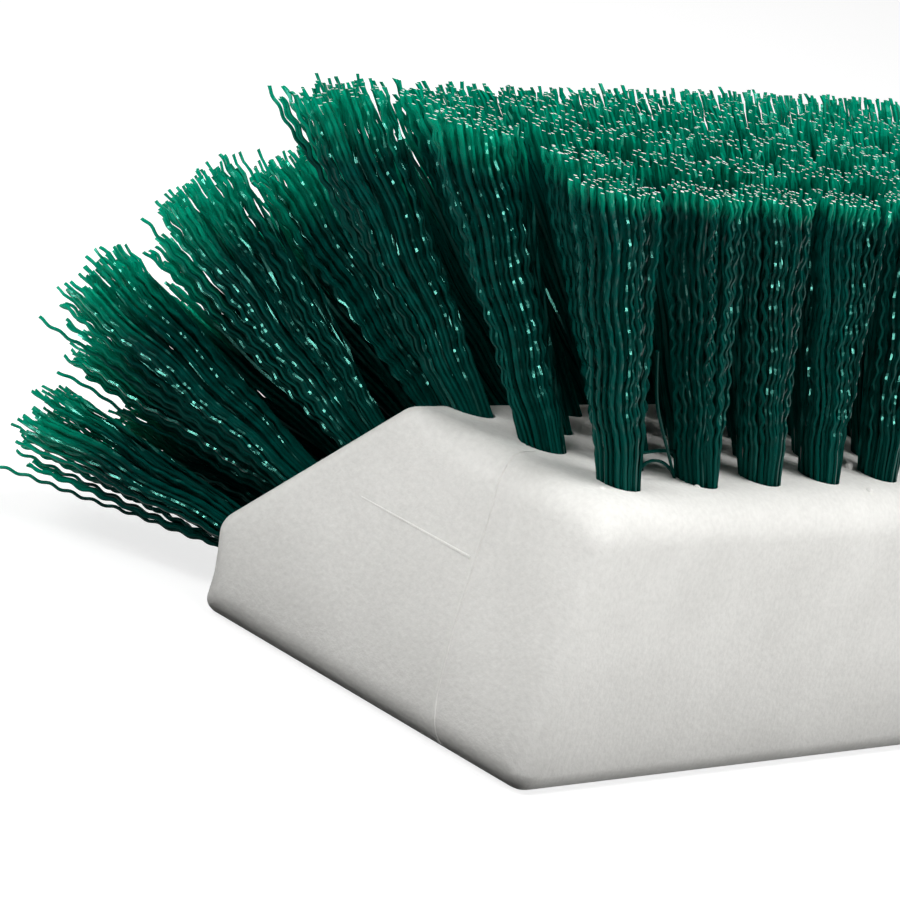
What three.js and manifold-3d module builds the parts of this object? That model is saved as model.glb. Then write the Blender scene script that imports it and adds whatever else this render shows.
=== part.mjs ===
// A floor scrub brush head: one moulded block, tufted on a flat face and on a slanted face.
// Units are millimetres. X runs along the block, Z is up and the bristles point up.
// The origin is the middle of the flat handle face, which the block stands on.
import * as THREE from 'three';
import { mergeVertices } from 'three/addons/utils/BufferGeometryUtils.js';
import Module from 'manifold-3d';

// Block: a five-sided section with a flat top, a slanted side and a low back face.
const blockLength = 254;
const blockWidth = 64.7;
const blockHeight = 43.5;
const flatFaceWidth = 38.2;
const backFaceHeight = 14.3;
const endEdgeRadius = 5;
const slantEndRadius = 2;
const endRadiusChange = 6;
const frontEdgeRadius = 6;
const ridgeRadius = 5;
const backEdgeRadius = 5;
const frontFootRadius = 3.5;
const backFootRadius = 2.5;
const leastCornerRadius = 1.2;

// Handle socket: a slanted blind hole in the handle face for a threaded pole.
const socketDiameter = 19.5;
const socketDepth = 27;
const socketLean = 30;
const socketInset = 17;

// Tufts: staggered rows of round holes, fanned along and across the block.
// The end column bows out towards the ridge, and the last row lies a little way down the back face.
const holeDiameter = 6.3;
const tuftPitch = 15.8;
const endTuftInset = 13.4;
const ridgeBow = 2.4;
const rowPitch = 6.7;
const frontRowInset = 9.3;
const slantRowPitch = 7.1;
const slantRowInset = 9;
const lastRowReach = 6;
const endLean = 24.5;
const endLeanEase = 83;
const frontRowLean = 3;
const ridgeLean = 34;
const slantTopLean = 43;
const lastRowLean = 80;
const slantLeanEase = 1.25;
const flatTrimHeight = 42.7;
const longestTrim = 50;
const slantTrim = 47;
const lastRowTrim = 40;

// Strands: each stands for a third of a tuft's filaments, and flares from the hole to the trim.
// A tuft fans out more along the block than across it, and more across on the slant than on the flat.
const strandsPerTuft = 3;
const strandSides = 3;
const strandRootRadius = 1.25;
const strandTipRadius = 2.5;
const strandRootSpread = 1.75;
const tipSpreadAlong = 5.4;
const flatTipSpreadAcross = 2.8;
const slantTipSpreadAcross = 5;
const strandRootDepth = 1.5;
const trimAllowance = 4;

// Bristle beds: the slices of the tufted faces that the strands are fused to.
const bedDepth = 6;
const bedMargin = 2;
const clearance = 0.3;

const arcSteps = 4;
const socketSides = 24;
const overcut = 2;

const wasm = await Module();
wasm.setup();

const radians = THREE.MathUtils.degToRad;
const halfWidth = blockWidth / 2;
const halfLength = blockLength / 2;

function solidOf(geometry) {
  const bare = geometry.clone();
  bare.deleteAttribute('normal');
  bare.deleteAttribute('uv');
  const merged = mergeVertices(bare);
  const mesh = new wasm.Mesh({
    numProp: 3,
    vertProperties: new Float32Array(merged.attributes.position.array),
    triVerts: new Uint32Array(merged.index.array),
  });
  return new wasm.Manifold(mesh);
}

function geometryOf(solid) {
  const mesh = solid.getMesh();
  const geometry = new THREE.BufferGeometry();
  geometry.setAttribute('position', new THREE.BufferAttribute(mesh.vertProperties.slice(), 3));
  geometry.setIndex(new THREE.BufferAttribute(mesh.triVerts.slice(), 1));
  geometry.computeVertexNormals();
  return geometry;
}

// The section's sharp corners in (Y, Z), anticlockwise from the front foot, each with its radius.
const corners = [
  { at: new THREE.Vector2(-halfWidth, 0), radius: frontFootRadius },
  { at: new THREE.Vector2(halfWidth, 0), radius: backFootRadius },
  { at: new THREE.Vector2(halfWidth, backFaceHeight), radius: backEdgeRadius },
  { at: new THREE.Vector2(flatFaceWidth - halfWidth, blockHeight), radius: ridgeRadius },
  { at: new THREE.Vector2(-halfWidth, blockHeight), radius: frontEdgeRadius },
];

function outwardNormal(a, b) {
  return new THREE.Vector2(b.y - a.y, a.x - b.x).normalize();
}

// Where two lines meet, each given by a point on it and its normal.
function meet(pointA, normalA, pointB, normalB) {
  const det = normalA.x * normalB.y - normalA.y * normalB.x;
  const distanceA = pointA.dot(normalA);
  const distanceB = pointB.dot(normalB);
  return new THREE.Vector2(
    (distanceA * normalB.y - distanceB * normalA.y) / det,
    (distanceB * normalA.x - distanceA * normalB.x) / det,
  );
}

// The rounded section, drawn in by the inset on every side.
function sectionPoints(inset) {
  const count = corners.length;
  const points = [];
  for (let i = 0; i < count; i += 1) {
    const before = corners[(i + count - 1) % count].at;
    const here = corners[i].at;
    const after = corners[(i + 1) % count].at;
    const normalIn = outwardNormal(before, here);
    const normalOut = outwardNormal(here, after);
    const radius = Math.max(corners[i].radius - inset, leastCornerRadius);
    const drawnIn = inset + radius;
    const centre = meet(
      here.clone().addScaledVector(normalIn, -drawnIn), normalIn,
      here.clone().addScaledVector(normalOut, -drawnIn), normalOut,
    );
    const start = Math.atan2(normalIn.y, normalIn.x);
    let turn = Math.atan2(normalOut.y, normalOut.x) - start;
    if (turn < 0) turn += 2 * Math.PI;
    for (let k = 0; k <= arcSteps; k += 1) {
      const angle = start + (turn * k) / arcSteps;
      points.push(new THREE.Vector2(
        centre.x + radius * Math.cos(angle),
        centre.y + radius * Math.sin(angle),
      ));
    }
  }
  return points;
}

// The ends' rounding is sharper along the slant, and changes over round the corners beside it.
const slantNormal = outwardNormal(corners[2].at, corners[3].at);
const roundShares = sectionPoints(0).map((point) => (
  THREE.MathUtils.smoothstep(corners[3].at.clone().sub(point).dot(slantNormal), 0, endRadiusChange)
));

// One ring of an end's rounding: a right angle lies on the end face, and zero on the sides.
function endRing(angle, side) {
  const wide = sectionPoints(endEdgeRadius * (1 - Math.cos(angle)));
  const narrow = sectionPoints(slantEndRadius * (1 - Math.cos(angle)));
  return roundShares.map((share, k) => {
    const radius = THREE.MathUtils.lerp(slantEndRadius, endEdgeRadius, share);
    const point = narrow[k].lerp(wide[k], share);
    return [side * (halfLength - radius * (1 - Math.sin(angle))), point.x, point.y];
  });
}

// The whole block as a loft between its two rounded ends.
function blockGeometry() {
  const angles = Array.from({ length: arcSteps + 1 }, (_, k) => (Math.PI / 2) * (k / arcSteps));
  const rings = [
    ...[...angles].reverse().map((angle) => endRing(angle, -1)),
    ...angles.map((angle) => endRing(angle, 1)),
  ];
  const size = rings[0].length;
  const index = [];
  for (let r = 0; r + 1 < rings.length; r += 1) {
    for (let k = 0; k < size; k += 1) {
      const a = r * size + k;
      const b = r * size + ((k + 1) % size);
      index.push(a, b, a + size, b, b + size, a + size);
    }
  }
  const last = (rings.length - 1) * size;
  for (let k = 1; k + 1 < size; k += 1) {
    index.push(0, k + 1, k);
    index.push(last, last + k, last + k + 1);
  }
  const positions = new Float32Array(rings.flat(2));
  const geometry = new THREE.BufferGeometry();
  geometry.setAttribute('position', new THREE.BufferAttribute(positions, 3));
  geometry.setIndex(index);
  return geometry;
}

// The tufted path across the block: along the flat face, down the slant and down the back face.
const frontTop = corners[4].at;
const ridge = corners[3].at;
const backEdge = corners[2].at;
const backFoot = corners[1].at;
const slantLength = ridge.distanceTo(backEdge);
const pathLength = flatFaceWidth + slantLength;
const legs = [
  { from: frontTop, start: 0, along: ridge.clone().sub(frontTop).normalize() },
  { from: ridge, start: flatFaceWidth, along: backEdge.clone().sub(ridge).normalize() },
  { from: backEdge, start: pathLength, along: backFoot.clone().sub(backEdge).normalize() },
];
const legNormals = legs.map((leg) => new THREE.Vector2(-leg.along.y, leg.along.x));

function legAt(distance) {
  let found = 0;
  legs.forEach((leg, i) => {
    if (distance > leg.start) found = i;
  });
  return found;
}

function pathPoint(distance, lift) {
  const i = legAt(distance);
  return legs[i].from.clone()
    .addScaledVector(legs[i].along, distance - legs[i].start)
    .addScaledVector(legNormals[i], lift);
}

// The path moved off the face by a lift, with its bends kept sharp.
function liftedPath(from, to, lift) {
  const points = [pathPoint(from, lift)];
  for (let i = 1; i < legs.length; i += 1) {
    if (legs[i].start > from && legs[i].start < to) {
      points.push(meet(
        legs[i].from.clone().addScaledVector(legNormals[i - 1], lift), legNormals[i - 1],
        legs[i].from.clone().addScaledVector(legNormals[i], lift), legNormals[i],
      ));
    }
  }
  points.push(pathPoint(to, lift));
  return points;
}

// A bent slab under the tufted path, from one X to another.
function slab(from, to, depth, fromX, toX) {
  const outline = [...liftedPath(from, to, overcut), ...liftedPath(from, to, -depth).reverse()];
  const geometry = new THREE.ExtrudeGeometry(new THREE.Shape(outline), {
    depth: toX - fromX,
    bevelEnabled: false,
  });
  // The shape's X, Y and depth become the block's Y, Z and X.
  geometry.applyMatrix4(new THREE.Matrix4().set(
    0, 0, 1, fromX,
    1, 0, 0, 0,
    0, 1, 0, 0,
    0, 0, 0, 1,
  ));
  return solidOf(geometry);
}

// Rows and columns of tufts.
const endColumn = halfLength - endTuftInset;
const middlePitches = Math.floor(endColumn / tuftPitch - 1);
const flatRowCount = Math.floor((flatFaceWidth - frontRowInset) / rowPitch) + 1;
const slantRowCount = Math.floor((slantLength + lastRowReach - slantRowInset) / slantRowPitch) + 1;
const rowCount = flatRowCount + slantRowCount;
const rowPlaces = Array.from({ length: rowCount }, (_, row) => (
  row < flatRowCount
    ? frontRowInset + row * rowPitch
    : flatFaceWidth + slantRowInset + (row - flatRowCount) * slantRowPitch
));

// How far a row lies from the front row to the ridge, or from the first slanted row to the last one.
function rowShare(row) {
  if (row >= flatRowCount) return (row - flatRowCount) / (slantRowCount - 1);
  return (rowPlaces[row] - frontRowInset) / (flatFaceWidth - frontRowInset);
}

// The places along X of one row's tufts. Odd rows sit half way between the even rows' places.
function columns(row) {
  const toRidge = row < flatRowCount ? rowShare(row) : 1 - rowShare(row);
  const end = endColumn + ridgeBow * toRidge;
  const full = [-end];
  for (let k = -middlePitches; k <= middlePitches; k += 1) full.push(k * tuftPitch);
  full.push(end);
  return row % 2 === 0 ? full : full.slice(1).map((x, i) => (x + full[i]) / 2);
}

// The lean of a row from vertical, across the block.
function rowLean(row) {
  const share = rowShare(row);
  if (row < flatRowCount) return THREE.MathUtils.lerp(frontRowLean, ridgeLean, share);
  return THREE.MathUtils.lerp(slantTopLean, lastRowLean, share ** slantLeanEase);
}

// The fan along the block opens fast in the middle and eases off towards the ends.
function tuftDirection(row, x) {
  const lean = radians(rowLean(row));
  const ease = radians(endLeanEase);
  const sideways = (Math.tan(radians(endLean)) * Math.sin((ease * x) / endColumn)) / Math.sin(ease);
  return new THREE.Vector3(sideways, Math.sin(lean), Math.cos(lean)).normalize();
}

function tuftLength(row, direction) {
  if (row >= flatRowCount) return THREE.MathUtils.lerp(slantTrim, lastRowTrim, rowShare(row) ** 4);
  return Math.min(flatTrimHeight / direction.z + trimAllowance, longestTrim);
}

function strand(root, tip) {
  const axis = tip.clone().sub(root);
  const height = axis.length();
  const geometry = new THREE.CylinderGeometry(
    strandTipRadius, strandRootRadius, height, strandSides, 1,
  );
  geometry.translate(0, height / 2, 0);
  const turn = new THREE.Quaternion().setFromUnitVectors(
    new THREE.Vector3(0, 1, 0), axis.normalize(),
  );
  geometry.applyQuaternion(turn);
  geometry.translate(root.x, root.y, root.z);
  return solidOf(geometry);
}

// The strands of one tuft, spread round the middle of its hole. Odd rows are turned half round.
function tuftStrands(row, x) {
  const face = pathPoint(rowPlaces[row], 0);
  const base = new THREE.Vector3(x, face.x, face.y);
  const direction = tuftDirection(row, x);
  const length = tuftLength(row, direction);
  const sideways = new THREE.Vector3(1, 0, 0).addScaledVector(direction, -direction.x).normalize();
  const across = new THREE.Vector3().crossVectors(direction, sideways);
  const tipSpreadAcross = row < flatRowCount ? flatTipSpreadAcross : slantTipSpreadAcross;
  return Array.from({ length: strandsPerTuft }, (_, k) => {
    const angle = (2 * Math.PI * k) / strandsPerTuft + Math.PI * (0.5 + (row % 2));
    const along = Math.cos(angle);
    const aside = Math.sin(angle);
    const root = base.clone().addScaledVector(direction, -strandRootDepth)
      .addScaledVector(sideways, strandRootSpread * along)
      .addScaledVector(across, strandRootSpread * aside);
    const tip = base.clone().addScaledVector(direction, length)
      .addScaledVector(sideways, tipSpreadAlong * along)
      .addScaledVector(across, tipSpreadAcross * aside);
    return strand(root, tip);
  });
}

const wholeBlock = solidOf(blockGeometry());
const bedReach = holeDiameter / 2 + bedMargin;
const bedStart = rowPlaces[0] - bedReach;
const bedEnd = rowPlaces[rowCount - 1] + bedReach;
const bedSplit = (rowPlaces[flatRowCount - 1] + rowPlaces[flatRowCount]) / 2;
const bedHalfLength = endColumn + ridgeBow + bedReach;
// The halves part a quarter pitch from the middle, clear of both the full and the staggered rows.
const halfSplit = tuftPitch / 4;

// What the trimming knife takes off above the flat face.
function trimmings() {
  const geometry = new THREE.BoxGeometry(blockLength * 2, blockWidth * 4, longestTrim);
  geometry.translate(0, 0, blockHeight + flatTrimHeight + longestTrim / 2);
  return solidOf(geometry);
}

// One bed with its strands: the rows of one face, on one half of the block.
function bristles(rows, from, to, side) {
  const fromX = side < 0 ? -bedHalfLength : halfSplit + clearance / 2;
  const toX = side < 0 ? halfSplit - clearance / 2 : bedHalfLength;
  const strands = [];
  rows.forEach((row) => {
    columns(row).filter((x) => x > fromX && x < toX).forEach((x) => {
      strands.push(...tuftStrands(row, x));
    });
  });
  const bed = wholeBlock.intersect(slab(from, to, bedDepth, fromX, toX));
  const solid = wasm.Manifold.union([bed, ...strands]).subtract(trimmings());
  return { solid, strandCount: strands.length };
}

// The block keeps a recess for the beds and the handle socket.
function blockSolid() {
  const recess = slab(
    bedStart - clearance, bedEnd + clearance, bedDepth + clearance,
    -bedHalfLength - clearance, bedHalfLength + clearance,
  );
  const socket = new THREE.CylinderGeometry(
    socketDiameter / 2, socketDiameter / 2, socketDepth * 2, socketSides,
  );
  socket.rotateX(Math.PI / 2 - radians(socketLean));
  socket.translate(0, socketInset - halfWidth, 0);
  return wholeBlock.subtract(recess).subtract(solidOf(socket));
}

const foamedPlastic = { color: 0xdcdcd6, roughness: 0.85, metalness: 0 };
const polyesterFilament = { color: 0x00674a, roughness: 0.4, metalness: 0 };

const brush = new THREE.Group();

function addPiece(name, solid, finish) {
  const piece = new THREE.Mesh(geometryOf(solid), new THREE.MeshStandardMaterial(finish));
  piece.name = name;
  brush.add(piece);
}

addPiece('block', blockSolid(), foamedPlastic);

const flatRows = rowPlaces.map((_, i) => i).slice(0, flatRowCount);
const slantRows = rowPlaces.map((_, i) => i).slice(flatRowCount);
const gap = clearance / 2;
let strandTotal = 0;
[['left', -1], ['right', 1]].forEach(([word, side]) => {
  const floor = bristles(flatRows, bedStart, bedSplit - gap, side);
  const edge = bristles(slantRows, bedSplit + gap, bedEnd, side);
  addPiece(`floor_bristles_${word}`, floor.solid, polyesterFilament);
  addPiece(`edge_bristles_${word}`, edge.solid, polyesterFilament);
  strandTotal += floor.strandCount + edge.strandCount;
});
console.log(`${rowCount} rows, ${strandTotal / strandsPerTuft} tufts, ${strandTotal} strands`);

export default brush;
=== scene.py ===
# %% [markdown]
# # A floor scrub brush head
# The real object is one moulded block of foamed plastic with tufts of crimped filament pressed into
# drilled holes. Some tufts stand on a flat face, for the floor, and some fan out over a slanted face,
# for the edge along a wall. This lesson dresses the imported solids: it loads them as a fixed frame,
# then makes the camera, the block, the tufts, the hidden wire anchors, a few crumbs and the light.

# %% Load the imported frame
import math

import bmesh
import bpy
import numpy as np
from mathutils import Matrix, Vector


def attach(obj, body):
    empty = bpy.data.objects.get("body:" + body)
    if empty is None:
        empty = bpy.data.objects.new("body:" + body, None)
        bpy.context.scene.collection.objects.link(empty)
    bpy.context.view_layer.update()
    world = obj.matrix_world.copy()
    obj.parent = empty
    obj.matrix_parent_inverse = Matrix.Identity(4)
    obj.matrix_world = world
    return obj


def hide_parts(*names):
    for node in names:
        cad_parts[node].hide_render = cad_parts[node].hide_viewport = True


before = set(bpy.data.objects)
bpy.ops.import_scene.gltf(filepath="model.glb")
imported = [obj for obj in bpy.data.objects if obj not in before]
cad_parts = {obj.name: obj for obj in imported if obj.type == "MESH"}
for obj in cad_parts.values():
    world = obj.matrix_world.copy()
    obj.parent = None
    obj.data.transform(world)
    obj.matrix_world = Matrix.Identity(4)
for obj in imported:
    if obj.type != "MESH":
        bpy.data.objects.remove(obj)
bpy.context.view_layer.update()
print("nodes:", sorted(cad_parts))

# %% [markdown]
# ## Small helpers
# Every tree of nodes in this file, for shapes and for finishes, is built from one small function that
# adds a node with its settings and its inputs. The kinds of node that come up often have short names.
# Colours are written as sRGB hex values, as a picker shows them, and one function turns them into the
# linear values that Blender works with.

# %% Nodes, colours and plain meshes
MM = 0.001
MATH, VECTOR, RANDOM = "ShaderNodeMath", "ShaderNodeVectorMath", "FunctionNodeRandomValue"
NAMED, STORE = "GeometryNodeInputNamedAttribute", "GeometryNodeStoreNamedAttribute"
COMPARE, SWITCH = "FunctionNodeCompare", "GeometryNodeSwitch"
MIX, MAP_RANGE = "ShaderNodeMix", "ShaderNodeMapRange"


def socket(source):
    """A node stands for its first output."""
    return source.outputs[0] if isinstance(source, bpy.types.Node) else source


def add(tree, kind, inputs=None, **settings):
    """Add one node. Settings are its properties; inputs are plain values, or sockets or nodes to link."""
    node = tree.nodes.new(kind)
    for name, value in settings.items():
        setattr(node, name, value)
    for key, value in (inputs or {}).items():
        value = socket(value)
        if isinstance(value, bpy.types.NodeSocket):
            tree.links.new(value, node.inputs[key])
        else:
            node.inputs[key].default_value = value
    return node


def linear(hex_colour):
    """An sRGB hex colour as linear RGBA."""
    levels = [int(hex_colour[i:i + 2], 16) / 255 for i in (1, 3, 5)]
    return [v / 12.92 if v <= 0.04045 else ((v + 0.055) / 1.055) ** 2.4 for v in levels] + [1.0]


def new_finish(name):
    """An empty material and its tree of nodes."""
    made = bpy.data.materials.new(name)
    made.use_nodes = True
    made.node_tree.nodes.clear()
    return made, made.node_tree


def mesh_object(name, points_mm, faces):
    """A mesh object at the origin, from points in millimetres."""
    mesh = bpy.data.meshes.new(name)
    mesh.from_pydata([tuple(float(v) * MM for v in p) for p in points_mm], [], faces)
    mesh.validate()
    made = bpy.data.objects.new(name, mesh)
    bpy.context.scene.collection.objects.link(made)
    return made


def flatten_modifiers(made):
    """Turn an object and its modifiers into one plain mesh."""
    depsgraph = bpy.context.evaluated_depsgraph_get()
    plain = bpy.data.meshes.new_from_object(made.evaluated_get(depsgraph))
    made.modifiers.clear()
    made.data = plain


def triangles(made):
    """How many triangles an object's mesh comes to."""
    return sum(len(face.vertices) - 2 for face in made.data.polygons)


print("helpers ready")

# %% [markdown]
# ## Camera
# The photograph is taken with a long lens from above the near end, and the camera is rolled. The place
# and the axes were solved from the block's edges and the holes' pitch, so the picture needs no shift.

# %% Camera
LENS_MM = 178.56
EYE_MM = (-615.8, -353.45, 196.6)
VIEW_RIGHT = Vector((0.6169, -0.7273, 0.3008))
VIEW_BACK = Vector((-0.7870, -0.5634, 0.2516)).normalized()

view_up = VIEW_BACK.cross(VIEW_RIGHT).normalized()
view_right = view_up.cross(VIEW_BACK)
camera = bpy.data.objects.new("camera", bpy.data.cameras.new("camera"))
camera.data.lens = LENS_MM
camera.data.sensor_width = 36.0
camera.data.clip_end = 50.0
placing = Matrix((view_right, view_up, VIEW_BACK)).transposed().to_4x4()
placing.translation = Vector(EYE_MM) * MM
camera.matrix_world = placing
bpy.context.scene.collection.objects.link(camera)
bpy.context.scene.camera = camera
print("camera at", [round(v, 4) for v in camera.location])

# %% [markdown]
# ## Where the tufts stand
# The tufts stand in staggered rows along a path that crosses the block: over the flat face, down the
# slanted face and a little way down the back face. Each tuft has a base, an axis that leans further the
# further its row lies along the path, and a plane that the trimming knife cut it on. All of it follows
# the same values as the solids, so that the holes and the tufts meet.

# %% The path and the rows
BLOCK_LENGTH, BLOCK_WIDTH, BLOCK_HEIGHT = 254.0, 64.7, 43.5
FLAT_FACE_WIDTH, BACK_FACE_HEIGHT = 38.2, 14.3
HALF_LENGTH, HALF_WIDTH = BLOCK_LENGTH / 2, BLOCK_WIDTH / 2
HOLE_DIAMETER, TUFT_PITCH, END_TUFT_INSET, RIDGE_BOW = 6.3, 15.8, 13.4, 2.4
ROW_PITCH, FRONT_ROW_INSET = 6.7, 9.3
SLANT_ROW_PITCH, SLANT_ROW_INSET, LAST_ROW_REACH = 7.1, 9.0, 6.0
END_LEAN, FAN_EASE, FRONT_ROW_LEAN, RIDGE_LEAN = 24.5, 83.0, 3.0, 34.0
SLANT_TOP_LEAN, LAST_ROW_LEAN, SLANT_LEAN_EASE = 43.0, 80.0, 1.25
FLAT_TRIM, LONGEST_TRIM, SLANT_TRIM, LAST_ROW_TRIM = 42.7, 50.0, 47.0, 40.0

front_top = np.array([-HALF_WIDTH, BLOCK_HEIGHT])
ridge = np.array([FLAT_FACE_WIDTH - HALF_WIDTH, BLOCK_HEIGHT])
back_edge = np.array([HALF_WIDTH, BACK_FACE_HEIGHT])
slant_length = float(np.linalg.norm(back_edge - ridge))
path_length = FLAT_FACE_WIDTH + slant_length
end_column = HALF_LENGTH - END_TUFT_INSET
flat_rows = int((FLAT_FACE_WIDTH - FRONT_ROW_INSET) // ROW_PITCH) + 1
slant_rows = int((slant_length + LAST_ROW_REACH - SLANT_ROW_INSET) // SLANT_ROW_PITCH) + 1
row_places = [FRONT_ROW_INSET + ROW_PITCH * i for i in range(flat_rows)]
row_places += [FLAT_FACE_WIDTH + SLANT_ROW_INSET + SLANT_ROW_PITCH * i for i in range(slant_rows)]


def path_point(place):
    """The point of the tufted path, in (y, z), at a distance from the front top edge."""
    if place <= FLAT_FACE_WIDTH:
        return front_top + np.array([place, 0.0])
    if place <= path_length:
        return ridge + (back_edge - ridge) * (place - FLAT_FACE_WIDTH) / slant_length
    return back_edge - np.array([0.0, place - path_length])


def flat_share(row):
    """How far a row of the flat face lies from the front row, 0, to the ridge, 1."""
    return (row_places[row] - FRONT_ROW_INSET) / (FLAT_FACE_WIDTH - FRONT_ROW_INSET)


def slant_share(row):
    """How far a row lies from the first slanted row, 0, to the last row, 1."""
    return (row - flat_rows) / (slant_rows - 1)


def row_columns(row):
    """The x places of a row. Odd rows sit half way between the places of the even ones."""
    to_ridge = flat_share(row) if row < flat_rows else 1 - slant_share(row)
    end = end_column + RIDGE_BOW * to_ridge
    steps = int(end_column // TUFT_PITCH) - 1
    full = [-end] + [k * TUFT_PITCH for k in range(-steps, steps + 1)] + [end]
    return full if row % 2 == 0 else [(a + b) / 2 for a, b in zip(full, full[1:])]


print(flat_rows, "rows on the flat face and", slant_rows, "from the slanted face on")


# %% How a tuft leans and where it is trimmed
def row_lean(row):
    """The lean of a row from upright, across the block, in degrees."""
    if row < flat_rows:
        return FRONT_ROW_LEAN + (RIDGE_LEAN - FRONT_ROW_LEAN) * flat_share(row)
    return SLANT_TOP_LEAN + (LAST_ROW_LEAN - SLANT_TOP_LEAN) * slant_share(row) ** SLANT_LEAN_EASE


def unit(vector):
    """A vector brought to a length of 1."""
    return vector / np.linalg.norm(vector)


def tuft_axis(row, x):
    """The way a tuft points. The fan along the block opens fast in the middle and eases off at the ends."""
    lean = math.radians(row_lean(row))
    ease = math.radians(FAN_EASE)
    sideways = math.tan(math.radians(END_LEAN)) * math.sin(ease * x / end_column) / math.sin(ease)
    return unit(np.array([sideways, math.sin(lean), math.cos(lean)]))


def tuft_length(row, axis):
    """The length to the trim: level over the flat face, and shortest in the last row."""
    if row < flat_rows:
        return min(FLAT_TRIM / axis[2], LONGEST_TRIM)
    return SLANT_TRIM + (LAST_ROW_TRIM - SLANT_TRIM) * slant_share(row) ** 4


def trim_normal(row, axis):
    """The knife is level over the flat face, square to the tufts of the slant, and turns over the ridge."""
    upright = np.array([0.0, 0.0, 1.0])
    if row < flat_rows - 1:
        return upright
    return axis if row >= flat_rows else unit(upright + axis)


def outward_side(row, column, columns):
    """The way out of the head for a tuft at its edge, and nothing for a tuft inside."""
    way = np.array([0.0, 0.0, 0.0])
    if row == 0:
        way += (0.0, -1.0, 0.0)
    if row == len(row_places) - 1:
        way += (0.0, 0.3, -1.0)
    if column in (0, len(columns) - 1):
        way += (math.copysign(1.0, columns[column]), 0.0, 0.0)
    return unit(way) if way.any() else way


print("lean of each row:", [round(row_lean(row), 1) for row in range(len(row_places))])

# %% All the tufts
tufts = []
for row, place in enumerate(row_places):
    columns = row_columns(row)
    for column, x in enumerate(columns):
        axis = tuft_axis(row, x)
        base = np.array([x, *path_point(place)])
        tufts.append({
            "row": row, "face": "floor" if row < flat_rows else "edge",
            "side": "left" if x < TUFT_PITCH / 4 else "right",
            "base": base, "axis": axis, "cut_point": base + axis * tuft_length(row, axis),
            "cut_normal": trim_normal(row, axis), "outward": outward_side(row, column, columns),
        })
print(len(row_places), "rows,", len(tufts), "tufts,", sum(t["outward"].any() for t in tufts), "at the edge")


# %% Points that carry the tufts
def tuft_points(name, chosen):
    """A mesh of one point a tuft, with its axis and its trim as attributes for the node trees."""
    made = mesh_object(name, [t["base"] for t in chosen], [])
    fields = {
        "axis": [t["axis"] for t in chosen],
        "cut_point": [t["cut_point"] * MM for t in chosen],
        "cut_normal": [t["cut_normal"] for t in chosen],
        "outward": [t["outward"] for t in chosen],
    }
    for field, values in fields.items():
        layer = made.data.attributes.new(field, "FLOAT_VECTOR", "POINT")
        layer.data.foreach_set("vector", np.array(values, dtype=np.float32).ravel())
    return made


all_tufts = tuft_points("all_tufts", tufts)
print("points for", len(all_tufts.data.vertices), "tufts")

# %% [markdown]
# ## Foamed polypropylene
# The block is moulded from polypropylene blown with a foaming agent. That gives a milky, slightly warm
# white with hardly any gloss: the skin has a fine grain from the gas, and the colour clouds very faintly
# from place to place. A picture of such a skin could be laid on it, but two noises give the same and need
# no file. The grain is about a millimetre wide and the clouds about 14 mm.

# %% Foamed polypropylene
GRAIN_MM, CLOUD_MM = 0.9, 14.0

foamed_plastic, tree = new_finish("foamed_polypropylene")
places = add(tree, "ShaderNodeTexCoord").outputs["Object"]
clouds = add(tree, "ShaderNodeTexNoise", {
    "Vector": places, "Scale": 1 / (CLOUD_MM * MM), "Detail": 3.0, "Roughness": 0.55})
grain = add(tree, "ShaderNodeTexNoise", {
    "Vector": places, "Scale": 1 / (GRAIN_MM * MM), "Detail": 2.0, "Roughness": 0.6})
both = add(tree, MIX, {
    "Factor": 0.5, 2: clouds.outputs["Fac"], 3: grain.outputs["Fac"]}, data_type="FLOAT")
tint = add(tree, "ShaderNodeValToRGB", {"Fac": both})
tint.color_ramp.elements[0].position = 0.35
tint.color_ramp.elements[0].color = linear("#dfdeda")
tint.color_ramp.elements[1].position = 0.65
tint.color_ramp.elements[1].color = linear("#ebeae6")
skin = add(tree, "ShaderNodeBump", {
    "Height": grain.outputs["Fac"], "Strength": 0.6, "Distance": 0.12 * MM})
surface = add(tree, "ShaderNodeBsdfPrincipled", {
    "Base Color": tint.outputs["Color"], "Normal": skin.outputs["Normal"],
    "Roughness": 0.6, "IOR": 1.49, "Specular IOR Level": 0.04})
add(tree, "ShaderNodeOutputMaterial", {"Surface": surface.outputs["BSDF"]})
print("finish:", foamed_plastic.name)

# %% [markdown]
# ## The block
# The block could be a bevelled box, but its roundings differ from edge to edge and its ends are drawn
# in, so it is lofted: one rounded section is carried along the length, and drawn in round both ends by
# a quarter circle. Thick mouldings sink as they cool and the two halves of the mould meet on the end
# faces, so the faces are dished by a fraction of a millimetre and the ends come to a faint peak.

# %% The section
# Each corner is y, z and its radius, and each flat after it is cut into that many steps.
CORNERS = [
    ((-HALF_WIDTH, 0.0), 3.5, 20), ((HALF_WIDTH, 0.0), 2.5, 3), (tuple(back_edge), 5.0, 12),
    (tuple(ridge), 5.0, 11), (tuple(front_top), 6.0, 12),
]
LEAST_CORNER_RADIUS = 1.2
END_RADIUS, SLANT_END_RADIUS, SLANT_BLEND = 5.0, 2.0, 6.0
ARC_STEPS = 8


def outward(a, b):
    """The outward normal of the side from a to b, walking anticlockwise."""
    along = unit(np.subtract(b, a))
    return np.array([along[1], -along[0]])


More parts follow.
